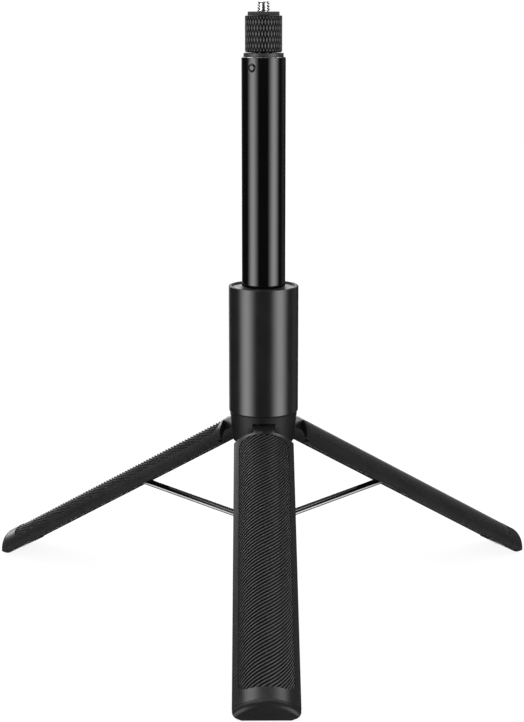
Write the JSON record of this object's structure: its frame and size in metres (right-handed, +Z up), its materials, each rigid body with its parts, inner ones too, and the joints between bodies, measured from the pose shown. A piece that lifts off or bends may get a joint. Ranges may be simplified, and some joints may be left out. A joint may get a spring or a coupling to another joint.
{
  "type": "selfie stick",
  "caption": "Telescopic selfie stick with a camera screw on a knurled head, whose handle splits into folding tripod legs with struts.",
  "frame": {"origin": "centre of the camera seat, on the axis of the camera screw", "axes": "+Z up along the camera screw and the pole, -Y towards the front leg"},
  "size_m": [0.2906, 0.2555, 0.3012],
  "materials": {
    "black_plastic": "fine grain",
    "bush_plastic": "smooth",
    "chrome_screw": "bright plated",
    "foot_plastic": "smooth, slightly glossy",
    "grey_plastic": "light grey, smooth",
    "grip_rubber": "matte, ribbed",
    "pole_gloss": "gloss black",
    "ring_metal": "black anodised, knurled",
    "seat_rubber": "matte",
    "sleeve_metal": "satin black anodised",
    "steel": "polished",
    "tube_metal": "gloss black"
  },
  "bodies": {
    "handle": {"sleeve": "sleeve_metal", "sleeve_bush": "grey_plastic", "collar": "black_plastic", "lower_bush": "bush_plastic", "leg_hinge_pins": "steel"},
    "pole": {"pole_tube": "pole_gloss", "pole_bush": "bush_plastic", "bush_pin": "steel", "hub": "black_plastic", "hub_cap": "black_plastic", "hub_screw": "steel"},
    "section_2": {"tube_2": "tube_metal", "guide_2": "bush_plastic", "bush_2": "bush_plastic"},
    "section_3": {"tube_3": "tube_metal", "guide_3": "bush_plastic", "bush_3": "bush_plastic"},
    "section_4": {"tube_4": "tube_metal", "guide_4": "bush_plastic", "bush_4": "bush_plastic"},
    "section_5": {"tube_5": "tube_metal", "guide_5": "bush_plastic", "bush_5": "bush_plastic"},
    "section_6": {"tube_6": "tube_metal", "guide_6": "bush_plastic", "neck": "steel", "neck_clip": "steel"},
    "head": {"head_ring": "ring_metal", "seat_pad": "seat_rubber", "camera_screw": "chrome_screw"},
    "leg_front": {"leg_shell_front": "black_plastic", "leg_grip_front": "grip_rubber", "leg_liner_front": "black_plastic", "foot_front": "foot_plastic", "strut_pin_front": "steel"},
    "strut_front_body": {"strut_front": "steel", "hub_pin_front": "steel"},
    "leg_left": {"leg_shell_left": "black_plastic", "leg_grip_left": "grip_rubber", "leg_liner_left": "black_plastic", "foot_left": "foot_plastic", "strut_pin_left": "steel"},
    "strut_left_body": {"strut_left": "steel", "hub_pin_left": "steel"},
    "leg_right": {"leg_shell_right": "black_plastic", "leg_grip_right": "grip_rubber", "leg_liner_right": "black_plastic", "foot_right": "foot_plastic", "strut_pin_right": "steel"},
    "strut_right_body": {"strut_right": "steel", "hub_pin_right": "steel"}
  },
  "joints": [
    {"name": "pole_slide", "type": "slide", "parent": "handle", "child": "pole", "axis": [0, 0, 1], "range_m": [-0.09681, 0]},
    {"name": "leg_front_fold", "type": "hinge", "parent": "handle", "child": "leg_front", "pos_m": [0, -0.0136, -0.204], "axis": [1, 0, 0], "range_deg": [0, 60]},
    {"name": "strut_front_turn", "type": "hinge", "parent": "leg_front", "child": "strut_front_body", "pos_m": [0, -0.08186, -0.24357], "axis": [1, 0, 0], "range_deg": [-140.3, 0]},
    {"name": "leg_left_fold", "type": "hinge", "parent": "handle", "child": "leg_left", "pos_m": [-0.01178, 0.0068, -0.204], "axis": [-0.5, -0.866, 0], "range_deg": [0, 60]},
    {"name": "strut_left_turn", "type": "hinge", "parent": "leg_left", "child": "strut_left_body", "pos_m": [-0.07089, 0.04093, -0.24357], "axis": [-0.5, -0.866, 0], "range_deg": [-140.3, 0]},
    {"name": "leg_right_fold", "type": "hinge", "parent": "handle", "child": "leg_right", "pos_m": [0.01178, 0.0068, -0.204], "axis": [-0.5, 0.866, 0], "range_deg": [0, 60]},
    {"name": "strut_right_turn", "type": "hinge", "parent": "leg_right", "child": "strut_right_body", "pos_m": [0.07089, 0.04093, -0.24357], "axis": [-0.5, 0.866, 0], "range_deg": [-140.3, 0]},
    {"name": "section_2_slide", "type": "slide", "parent": "pole", "child": "section_2", "axis": [0, 0, 1], "range_m": [0, 0.19]},
    {"name": "section_3_slide", "type": "slide", "parent": "section_2", "child": "section_3", "axis": [0, 0, 1], "range_m": [0, 0.19]},
    {"name": "section_4_slide", "type": "slide", "parent": "section_3", "child": "section_4", "axis": [0, 0, 1], "range_m": [0, 0.19]},
    {"name": "section_5_slide", "type": "slide", "parent": "section_4", "child": "section_5", "axis": [0, 0, 1], "range_m": [0, 0.19]},
    {"name": "section_6_slide", "type": "slide", "parent": "section_5", "child": "section_6", "axis": [0, 0, 1], "range_m": [0, 0.19]},
    {"name": "head_turn", "type": "hinge", "parent": "section_6", "child": "head", "pos_m": [0, 0, -0.0105], "axis": [0, 0, 1], "continuous": true}
  ],
  "couplings": [
    {"joint": "leg_front_fold", "follows": "pole_slide", "rad_per_m": -10.799},
    {"joint": "strut_front_turn", "follows": "pole_slide", "rad_per_m": 25.257},
    {"joint": "leg_left_fold", "follows": "pole_slide", "rad_per_m": -10.799},
    {"joint": "strut_left_turn", "follows": "pole_slide", "rad_per_m": 25.257},
    {"joint": "leg_right_fold", "follows": "pole_slide", "rad_per_m": -10.799},
    {"joint": "strut_right_turn", "follows": "pole_slide", "rad_per_m": 25.257}
  ]
}
